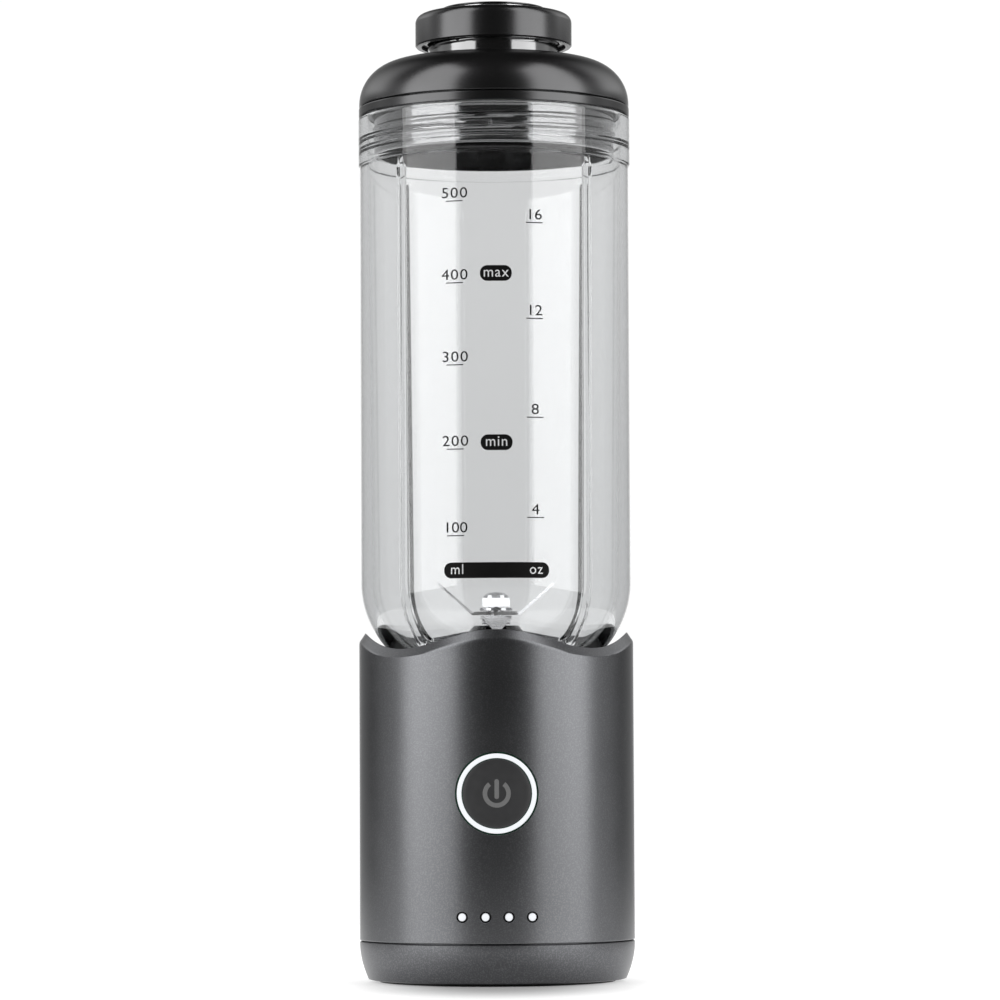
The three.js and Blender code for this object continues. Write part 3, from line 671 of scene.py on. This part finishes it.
nylon = finish_of("glass_filled_nylon", coupling_plastic)
deck = turned("deck_moulding", rounded([
    (9.8, DECK_LOW), (SOCKET_R + 2, DECK_LOW, 0.4), (SOCKET_R + 2, SHOULDER_Z - 2.2),
    (37.4, DECK_EDGE - 2.5), (37.4, DECK_EDGE, 0.4), (SOCKET_R, SHOULDER_Z, 0.8),
    (SOCKET_R, DECK_FLOOR, 0.6), (9.8, DECK_FLOOR, 0.5),
]))
dress(deck, black, "base", "black_plastic", "deck")


def lug_edges(spread, gap):
    """Angles at both edges of each lug, or of its notch, and just outside them."""
    return [math.radians(middle + side * (spread / 2 + beyond)) for middle in LUG_MIDDLES
            for side in (-1, 1) for beyond in (0, gap)]


def off_lug(angle):
    """Degrees from this angle to the middle of the nearest lug."""
    return min(abs((math.degrees(angle) - middle + 180) % 360 - 180) for middle in LUG_MIDDLES)


def notched(r, z, angle, _):
    """Drops the ring's top into a notch at each lug."""
    return (r, min(z, NOTCH_Z) if off_lug(angle) < NOTCH / 2 + 0.05 else z)


lock = turned("lock_ring_moulding", [
    (LOCK_INNER, DECK_FLOOR + 0.3), (LOCK_OUTER, DECK_FLOOR + 0.3), (LOCK_OUTER, LOCK_TOP - 0.3),
    (LOCK_OUTER - 0.3, LOCK_TOP), (LOCK_INNER + 0.3, LOCK_TOP), (LOCK_INNER, LOCK_TOP - 0.3),
], around(120, *lug_edges(NOTCH, 0.1)), notched)
dress(lock, nylon, "lock_ring", "coupling_plastic", "lock_ring")

# --------------------------------------------------------------------------- motor, cells and boards
# Inside the base: a motor hung from a moulded bridge, two wrapped cells beside it, and two circuit
# boards. They don't show until the base is opened.


def cell_wrap(tree):
    print_lines = grain(tree, 250, 1.0)
    return {
        "Base Color": print_lines.blend((0.03, 0.17, 0.36), (0.04, 0.22, 0.44)),
        "Roughness": 0.25 + 0.08 * print_lines,
        "Normal": bumps(tree, grain(tree, 160, 1.0), 0.1, 0.4),
    }


def circuit_board(tree):
    tracks = grain(tree, 420, 0.0).step(0.5, 0.54)
    return {
        "Base Color": tracks.blend((0.012, 0.09, 0.045), (0.02, 0.15, 0.075)),
        "Roughness": 0.3 + 0.12 * tracks,
        "Normal": bumps(tree, tracks, 0.04, 0.6),
    }


def bright_steel(tree):
    brushing = grain(tree, 700, 4.0, (1, 12, 1))
    return {
        "Base Color": brushing.blend((0.56, 0.56, 0.57), (0.7, 0.7, 0.71)),
        "Metallic": 1.0,
        "Roughness": 0.16 + 0.14 * brushing,
        "Normal": bumps(tree, brushing, 0.006, 0.4),
    }


steel = finish_of("bright_steel", bright_steel)
keep(["motor_can", "motor_screw_1", "motor_screw_2", "mount_screw_1", "mount_screw_2", "tact_switch"],
     zinc_finish)
keep(["motor_end_cap", "battery_cradle", "interlock_sensor"], black)
keep(["motor_mount", "drive_coupling"], nylon, 0.3)
keep(["battery_cell_left", "battery_cell_right"], finish_of("cell_wrap", cell_wrap))
keep(["control_board", "charge_board"], finish_of("circuit_board", circuit_board), 0)
keep(["charge_port", "motor_shaft"], steel, 0.1)

# ------------------------------------------------------------------------------------------------ cup
# A thick cup moulded in one piece of clear copolyester: an open neck below, a rounded bottom, straight
# walls with four upright ribs inside, and a collar with a screw thread for the lid.

JAR_R, JAR_TOP, COLLAR_Z, COLLAR_R, MOUTH_R = 39.4, 252.4, 238.5, 39.85, 37.2
NECK_OUTER, NECK_INNER, NECK_LOW = 28, 25.4, 83.4
BEND_R, BEND_Z, BEND_OUTER, BEND_INNER = 11.4, 116, 28, 24.5
BORE_TOP, BORE_MIDDLE, BORE_LOW = 37, 36.5, 35.9
RIB_ANGLES = [math.radians(45 + 90 * i) for i in range(4)]
RIB_HALF, RIB_DEPTH, RIB_TOP, RIB_LOW = 1.3, 1.2, 236.4, 98
LUG_REACH, LUG_LOW, LUG_HIGH, LUG_SPREAD = 29.9, 84, 86.8, 18
CUP_THREAD = {"middle": 243.8, "lead": 3.0, "turns": 1.7, "centre": 0.145, "depth": 0.5, "half": 0.8}
MOULD_SEAM, MOULD_SEAM_HALF = 0.07, 0.3


def soft(value, low, high):
    """0 below low and 1 above high, with a smooth change."""
    t = min(1, max(0, (value - low) / (high - low)))
    return t * t * (3 - 2 * t)


def rib_height(r, z, angle):
    """How far a rib stands out of the inside wall at this place."""
    across = min(abs((angle - rib + math.pi) % (2 * math.pi) - math.pi) for rib in RIB_ANGLES) * r
    past = max(0, z - (RIB_TOP - RIB_HALF), RIB_LOW + RIB_HALF - z)
    return RIB_DEPTH * soft(-math.hypot(across, past), -RIB_HALF - 0.25, -RIB_HALF + 0.35)


def thread_height(z, angle, middle, lead, turns, centre, depth, half):
    """How far a screw thread stands out at this place. It fades away at both ends.

    It crosses the height middle at the angle centre, which is a share of a turn from the front."""
    girth = 240
    best = 0
    for lap in range(-2, 3):
        turn = (angle / (2 * math.pi) + lap) - centre
        beyond = max(0, abs(turn) - turns / 2) * girth
        off = abs(z - middle - turn * lead)
        best = max(best, depth * soft(-math.hypot(off, beyond), -half, -half * 0.35))
    return best


def jar_shape(r, z, angle, i):
    """Adds the ribs, the thread and the lugs to the plain cup."""
    if i in jar_inner:
        rise = rib_height(r, z, angle)
        if z < BEND_Z:
            out = Vector((r - BEND_R, z - BEND_Z)).normalized()
            return r - out.x * rise, z - out.y * rise
        if z > COLLAR_Z + 1:
            rise = thread_height(z, angle, **CUP_THREAD)
        return r - rise, z
    if LUG_LOW - 0.01 < z < LUG_HIGH + 0.01 and r < NECK_OUTER + 0.1:
        if off_lug(angle) < LUG_SPREAD / 2 + 0.05:
            return LUG_REACH, z
    if COLLAR_Z < z < JAR_TOP - 0.5:
        seam = min(angle, 2 * math.pi - angle) * r
        return r + MOULD_SEAM * soft(-seam, -MOULD_SEAM_HALF, -0.05), z
    return r, z


bend_out = -math.degrees(math.acos((NECK_OUTER - BEND_R) / BEND_OUTER))
bend_in = -math.degrees(math.acos((NECK_INNER - BEND_R) / BEND_INNER))
outer_wall = [
    (NECK_OUTER - 0.4, NECK_LOW), (NECK_OUTER, NECK_LOW + 0.4), (NECK_OUTER, LUG_LOW - 0.1),
    (NECK_OUTER, LUG_LOW), (NECK_OUTER, LUG_HIGH), (NECK_OUTER, LUG_HIGH + 0.1),
    *curve_points(BEND_R, BEND_Z, BEND_OUTER, bend_out, 0, 20),
    *[(JAR_R, BEND_Z + (COLLAR_Z - 0.6 - BEND_Z) * k / 12) for k in range(1, 13)],
    (JAR_R, COLLAR_Z - 0.45), (COLLAR_R - 0.1, COLLAR_Z - 0.08), (COLLAR_R, COLLAR_Z + 0.1),
    (COLLAR_R, COLLAR_Z + 0.8), (COLLAR_R, JAR_TOP - 0.8),
    *curve_points(COLLAR_R - 0.6, JAR_TOP - 0.6, 0.6, 0, 90, 4),
    *curve_points(MOUTH_R + 0.6, JAR_TOP - 0.6, 0.6, 90, 180, 4),
]
collar_rows = [JAR_TOP - 0.9 - 0.28 * k for k in range(int((JAR_TOP - 0.9 - COLLAR_Z - 1.2) / 0.28))]
inner_wall = [
    *[(MOUTH_R, z) for z in collar_rows], (MOUTH_R, COLLAR_Z + 1), (BORE_TOP, COLLAR_Z + 0.4),
    (BORE_TOP, COLLAR_Z + 0.2),
    *[(BORE_TOP, RIB_TOP - 0.25 * k) for k in range(10)],
    *[(BORE_TOP + (BORE_LOW - BORE_TOP) * k / 12, 233 + (BEND_Z - 233) * k / 12) for k in range(1, 12)],
    *curve_points(BEND_R, BEND_Z, BEND_INNER, 0, bend_in, 40),
    (NECK_INNER, 90), (NECK_INNER, NECK_LOW + 0.4), (NECK_INNER + 0.4, NECK_LOW),
]
jar_inner = range(len(outer_wall), len(outer_wall) + len(inner_wall))
rib_sides = [rib + s / BORE_MIDDLE for rib in RIB_ANGLES
             for s in (-1.9, -1.6, -1.45, -1.3, -1.15, -1.0, -0.6, 0, 0.6, 1.0, 1.15, 1.3, 1.45, 1.6, 1.9)]
seam_sides = [s / JAR_R for s in (-0.32, -0.15, -0.05, 0, 0.05, 0.15, 0.32)]
jar_angles = around(200, *rib_sides, *lug_edges(LUG_SPREAD, 0.15), *seam_sides)
jar = turned("cup_wall", outer_wall + inner_wall, jar_angles, jar_shape, 50)


def clear_plastic(tree):
    flow = grain(tree, 25, 1.0, (1, 1, 0.2))
    return {
        "Base Color": (0.985, 0.988, 0.99),
        "Transmission Weight": 1.0,
        "IOR": 1.49,
        "Specular IOR Level": 0.4,
        "Roughness": 0.012 + 0.02 * grain(tree, 180),
        "Normal": bumps(tree, flow, 0.12, 0.25),
    }


clear = finish_of("clear_copolyester", clear_plastic)
smoke = {"Color": (0.5, 0.52, 0.53), "Density": 75.0}
tint = Wire(clear.node_tree).make("ShaderNodeVolumeAbsorption", None, smoke)
clear.node_tree.links.new(tint.socket, clear.node_tree.nodes["Material Output"].inputs["Volume"])
dress(jar, clear, "cup", "clear_plastic", "jar")

# ------------------------------------------------------------------------------------------ cup scale
# The scale is printed in black on the outside of the cup: millilitres left of the middle and ounces
# right of it, with reversed labels for the limits and the units.


def black_ink(tree):
    ink_cover = grain(tree, 900, 3.0)
    return {
        "Base Color": ink_cover.blend((0.001, 0.001, 0.001), (0.003, 0.003, 0.003)),
        "Roughness": 0.5 + 0.12 * ink_cover,
        "Specular IOR Level": 0.15,
    }


print_ink = finish_of("print_ink", black_ink)
PRINT_LIFT, PRINT_HALF = 0.05, 0.02
CAPITAL = 0.7


def printed(name, azimuth, z, words, shapes):
    """Prints words and outlines on the cup as one thin piece, curved with its wall.

    A word is (text, x, y, height of a capital). An outline round a word makes the word clear in a black
    label. The digit 1 is narrow, so numbers that start with it are set closer."""
    curve = bpy.data.curves.new(name, "CURVE")
    curve.dimensions = "2D"
    curve.fill_mode = "BOTH"
    curve.extrude = PRINT_HALF * MM
    for outline in shapes:
        add_loop(curve, [(x * MM, y * MM) for x, y in outline])
    for text, x, y, height in words:
        letters = bpy.data.curves.new(name + text, "FONT")
        letters.body = text
        letters.align_x = "CENTER"
        letters.space_character = 0.98 if text[0] == "1" else 1.12
        letters.offset = 0.022
        helper = placed(name + text, letters)
        bpy.ops.object.select_all(action="DESELECT")
        bpy.context.view_layer.objects.active = helper
        helper.select_set(True)
        bpy.ops.object.convert(target="CURVE")
        tall = height * MM / CAPITAL
        wide = tall * (1.15 if text.isdigit() else 0.95)
        for spline in helper.data.splines:
            points = [(x * MM + p.x * wide, y * MM + p.y * tall) for p in sampled(spline)]
            add_loop(curve, points)
        bpy.data.objects.remove(helper)
    holder = placed(name, curve)
    mesh = final_mesh(holder)
    bpy.data.objects.remove(holder)
    wrap(mesh, math.radians(azimuth), z)
    dress(placed(name, mesh), print_ink, "cup", "satin_black")


def add_loop(curve, points):
    spline = curve.splines.new("POLY")
    spline.points.add(len(points) - 1)
    for target, (x, y) in zip(spline.points, points):
        target.co = (x, y, 0, 1)
    spline.use_cyclic_u = True


def sampled(spline, steps=5):
    """Points along a Bezier outline."""
    knots = spline.bezier_points
    result = []
    for i, knot in enumerate(knots):
        following = knots[(i + 1) % len(knots)]
        a, b, c, d = knot.co, knot.handle_right, following.handle_left, following.co
        for k in range(steps):
            t = k / steps
            u = 1 - t
            result.append(a * u ** 3 + b * 3 * t * u ** 2 + c * 3 * t * t * u + d * t ** 3)
    return result


def wrap(mesh, azimuth, z):
    """Bends a flat print round the cup: x goes round it and y goes up it."""
    shape = bmesh.new()
    shape.from_mesh(mesh)
    for k in range(-16, 17):
        whole = shape.verts[:] + shape.edges[:] + shape.faces[:]
        bmesh.ops.bisect_plane(shape, geom=whole, plane_co=(k * MM, 0, 0), plane_no=(1, 0, 0))
    for vertex in shape.verts:
        angle = azimuth + vertex.co.x / (JAR_R * MM)
        reach = JAR_R * MM + PRINT_LIFT * MM + vertex.co.z
        vertex.co = Vector((reach * math.sin(angle), -reach * math.cos(angle), z * MM + vertex.co.y))
    shape.to_mesh(mesh)
    shape.free()


UNDERLINE = [(-2.5, -0.14), (2.5, -0.14), (2.5, 0.14), (-2.5, 0.14)]
for amount, height in ((500, 223.8), (400, 200.3), (300, 176.8), (200, 152.7), (100, 128.0)):
    printed(f"scale_ml_{amount}", -16.8, height, [(str(amount), 0, 0.9, 3.0)], [UNDERLINE])
for amount, height in ((16, 217.5), (12, 190.0), (8, 161.7), (4, 133.1)):
    printed(f"scale_oz_{amount}", 16.9, height, [(str(amount), 0, 0.9, 3.0)], [UNDERLINE])
for word, height in (("max", 202.9), ("min", 154.5)):
    printed(f"scale_{word}", 0.6, height, [(word, 0, -1.05, 3.0)], [pill_outline(0, 0, 9.1, 4.5, 2.1)])
units = [("ml", -11.4, -1.05, 2.9), ("oz", 11.4, -1.05, 2.9)]
printed("scale_units", 0.4, 118.1, units, [pill_outline(0, 0, 30.6, 4.5, 2.1)])

# ----------------------------------------------------------------------------------------- blade unit
# A black plug closes the cup's neck and holds two bearings and a seal for the blade spindle. Its dish
# rises to a hub under the blades. Two crossed steel blades are clamped by a domed nut.


def silicone(tree):
    haze = grain(tree, 220)
    return {
        "Base Color": haze.blend((0.24, 0.24, 0.245), (0.3, 0.3, 0.305)),
        "Roughness": 0.45 + 0.15 * haze,
        "Subsurface Weight": 0.1,
        "Subsurface Radius": (0.001, 0.001, 0.001),
    }


def ground_steel(tree):
    brushing = grain(tree, 260, 5.0, (1, 1, 20))
    return {
        "Base Color": brushing.blend((0.52, 0.52, 0.53), (0.68, 0.68, 0.69)),
        "Metallic": 1.0,
        "Roughness": 0.2 + 0.16 * brushing,
        "Normal": bumps(tree, brushing, 0.01, 0.4),
    }


silicone_finish = finish_of("silicone", silicone)
blade_steel = finish_of("blade_steel", ground_steel)
blade_plug = turned("blade_plug", rounded([
    (12.5, 79.8), (27.6, 79.8, 0.4), (27.6, 82, 0.3), (25, 82), (25, 94.6, 0.4), (22, 93.6, 2),
    (13, 94.4, 2), (8.8, 100.5, 2), (6.5, 103.2, 0.6), (3.5, 103.2, 0.3), (3.5, 102.3), (5.8, 102.3),
    (5.8, 99.4), (6.9, 99.4), (6.9, 88.9), (12.5, 88.9),
]))
dress(blade_plug, black, "cup", "black_plastic", "blade_base")
keep(["blade_gasket", "shaft_seal"], silicone_finish)
keep(["bearing_lower", "bearing_upper", "interlock_magnet"], steel)


def blade_pair(name, z, bend, tip, rise, across):
    """Two bent arms in one strip of steel, each ground sharp along its leading side."""
    half, sharp_from, sharp_to = 4.5, 5.5, 8
    along = (0, 3, 6, bend - 0.4, bend, bend + 0.4, 12, 15, tip - 2, tip)
    vertices = []
    for u in sorted({side * u for side in (-1, 1) for u in along}):
        side = 1 if u >= 0 else -1
        far = abs(u)
        lead = half - 4.1 * max(0, far - 8) / (tip - 8)
        trail = half - 4.7 * max(0, far - 6) / (tip - 6)
        ground = soft(far, sharp_from, sharp_to)
        grind = 2.4 * ground * min(1, lead / 3)
        level = z + rise * max(0, far - bend) / (tip - bend)
        edge = 1 - 0.85 * ground
        top = [(-trail, 1), (lead - grind, 1), (lead, edge)]
        section = [(-trail, 0), *top, (lead, edge * 0.5), (lead - grind * 0.2, 0)]
        for v, h in section:
            x, y = (u, side * v) if across else (-side * v, u)
            vertices.append((x, y, level + h))
    return stacked(name, vertices, len(section), 25)


lower = blade_pair("blade_lower_strip", 105.1, 9, 21, -4.5, False)
dress(lower, blade_steel, "blades", "steel", "blade_lower")
upper = blade_pair("blade_upper_strip", 106.4, 7, 17, 9, True)
dress(upper, blade_steel, "blades", "steel", "blade_upper")
spindle = turned("spindle_turned", rounded([
    (0, 84.9), (2.9, 84.9, 0.3), (2.9, 103.6), (4.2, 103.6, 0.2), (4.2, 104.8, 0.2), (2.3, 104.8),
    (2.3, 111.6, 0.3), (0, 111.6),
]), around(48))
dress(spindle, steel, "blades", "steel", "blade_spindle")
keep(["blade_washer", "blade_nut"], steel, 0.2)
keep(["driven_coupling"], nylon, 0.3)

# ------------------------------------------------------------------------------------------------ lid
# A plug of glossy black plastic screws into the collar. A dome and a thin band with a satin black coat
# are fixed over it, with a silicone ring under them. The plug's spout rises through the dome.

BAND_INNER, BAND_OUTER, BAND_LOW, BAND_HIGH = 38.2, 39.7, 252.7, 255.4
DOME_R, DOME_LOW, DOME_BEND_Z, DOME_BEND, DOME_WALL, DOME_HOLE = 39.6, 255.7, 256.5, 12.6, 2, 19.2
PLUG_R, PLUG_INNER, PLUG_LOW, PLATE_Z, PLATE_TOP, FLANGE_R = 35.2, 34, 241.2, 254.6, 256.6, 37.2
SPOUT_R, SPOUT_INNER, SPOUT_TOP, SPOUT_BARE = 18.8, 16.4, 279.6, 270
LID_THREAD = {"middle": 248, "lead": 3.0, "turns": 1.7, "centre": 0.645, "depth": 0.6, "half": 0.8}
CAP_THREAD = {"middle": 275, "lead": 3.4, "turns": 1.4, "centre": 0.3, "depth": 0.5, "half": 0.7}

band = turned("lid_band_ring", rounded([
    (BAND_INNER, BAND_LOW, 0.2), (BAND_OUTER, BAND_LOW, 0.35),
    (BAND_OUTER, BAND_HIGH, 0.35), (BAND_INNER, BAND_HIGH, 0.2),
]), around(192))
dress(band, satin, "lid", "satin_black", "lid_band")
dome_centre, dome_top = DOME_R - DOME_BEND, DOME_BEND_Z + DOME_BEND
dome = turned("lid_dome_shell", [
    (DOME_R - 0.3, DOME_LOW), (DOME_R, DOME_LOW + 0.3),
    *curve_points(dome_centre, DOME_BEND_Z, DOME_BEND, 0, 90, 28),
    (DOME_HOLE + 0.3, dome_top + 0.2), (DOME_HOLE, dome_top - 0.1), (DOME_HOLE, dome_top - DOME_WALL),
    *curve_points(dome_centre, DOME_BEND_Z, DOME_BEND - DOME_WALL, 90, 0, 14),
    (DOME_R - DOME_WALL, DOME_LOW),
], around(192))
dress(dome, satin, "lid", "satin_black", "lid_dome")


def gloss_black(tree):
    cloud = grain(tree, 100)
    return {
        "Base Color": cloud.blend((0.24, 0.24, 0.242), (0.28, 0.28, 0.282)),
        "Metallic": 0.98,
        "Roughness": 0.09 + 0.05 * cloud,
        "Normal": bumps(tree, grain(tree, 1600), 0.003, 0.3),
    }


def plug_shape(r, z, angle, _):
    """Adds the lid's thread to the skirt and the cap's thread to the spout."""
    if abs(r - PLUG_R) < 0.01 and PLUG_LOW + 0.5 < z < PLATE_Z - 0.5:
        return r + thread_height(z, angle, **LID_THREAD), z
    if abs(r - SPOUT_R) < 0.01 and SPOUT_BARE < z < SPOUT_TOP - 0.6:
        return r + thread_height(z, angle, **CAP_THREAD), z
    return r, z


plug = turned("lid_plug_moulding", [
    (PLUG_INNER, PLUG_LOW), (PLUG_R - 0.3, PLUG_LOW), (PLUG_R, PLUG_LOW + 0.3),
    *[(PLUG_R, PLUG_LOW + 0.6 + 0.3 * k) for k in range(41)],
    (PLUG_R, PLATE_Z), (FLANGE_R, PLATE_Z), (FLANGE_R, PLATE_TOP), (SPOUT_R, PLATE_TOP),
    (SPOUT_R, SPOUT_BARE), *[(SPOUT_R, SPOUT_BARE + 0.4 + 0.3 * k) for k in range(29)],
    *curve_points(SPOUT_R - 0.5, SPOUT_TOP - 0.5, 0.5, 0, 90, 3),
    *curve_points(SPOUT_INNER + 0.5, SPOUT_TOP - 0.5, 0.5, 90, 180, 3),
    (SPOUT_INNER, PLATE_Z), (PLUG_INNER, PLATE_Z),
], around(180), plug_shape, 50)
dress(plug, finish_of("gloss_black", gloss_black), "lid", "black_plastic", "lid_plug")
keep(["lid_gasket"], silicone_finish)

# ------------------------------------------------------------------------------------------------ cap
# The spout's screw cap: a satin black shell over a threaded plastic liner and a silicone disc. A bright
# metal ring is pressed into its top, round a black inlay.

CAP_R, CAP_LOW, CAP_TOP, CAP_WALL = 23, 273.7, 283.2, 1.8
INLAY_R, INLAY_CORE, INLAY_TOP = 15.6, 12.8, 285


def bright_trim(tree):
    spin = grain(tree, 300, 3.0)
    return {
        "Base Color": spin.blend((0.78, 0.78, 0.79), (0.88, 0.88, 0.89)),
        "Metallic": 1.0,
        "Roughness": 0.14 + 0.1 * spin,
    }


shell = turned("cap_shell_moulding", [
    (0, CAP_TOP - CAP_WALL + 0.1), (CAP_R - CAP_WALL, CAP_TOP - CAP_WALL + 0.1),
    (CAP_R - CAP_WALL, CAP_LOW), (CAP_R - 0.4, CAP_LOW), (CAP_R, CAP_LOW + 0.4),
    *curve_points(CAP_R - 2.5, CAP_TOP - 2.5, 2.5, 0, 90, 10),
    (CAP_R - 2.8, CAP_TOP), (0, CAP_TOP),
], around(160))
dress(shell, satin, "cap", "satin_black", "cap_shell")
keep(["cap_liner"], black)
keep(["cap_seal"], silicone_finish)
trim = turned("cap_trim_ring", rounded([
    (INLAY_CORE, CAP_TOP + 0.3), (INLAY_R, CAP_TOP + 0.3, 0.2),
    (INLAY_R, INLAY_TOP - 0.7, 0.25), (INLAY_CORE, INLAY_TOP - 0.7),
]), around(160))
dress(trim, finish_of("bright_trim", bright_trim), "cap", "chrome_trim", "cap_trim")
inlay = turned("cap_inlay", rounded([
    (0, CAP_TOP + 0.3), (INLAY_CORE - 0.3, CAP_TOP + 0.3), (INLAY_CORE - 0.3, INLAY_TOP - 0.4),
    (INLAY_R - 0.4, INLAY_TOP - 0.4, 0.15), (INLAY_R - 0.4, INLAY_TOP, 0.2), (0, INLAY_TOP),
]), around(160))
dress(inlay, satin, "cap", "satin_black", "cap_disc")
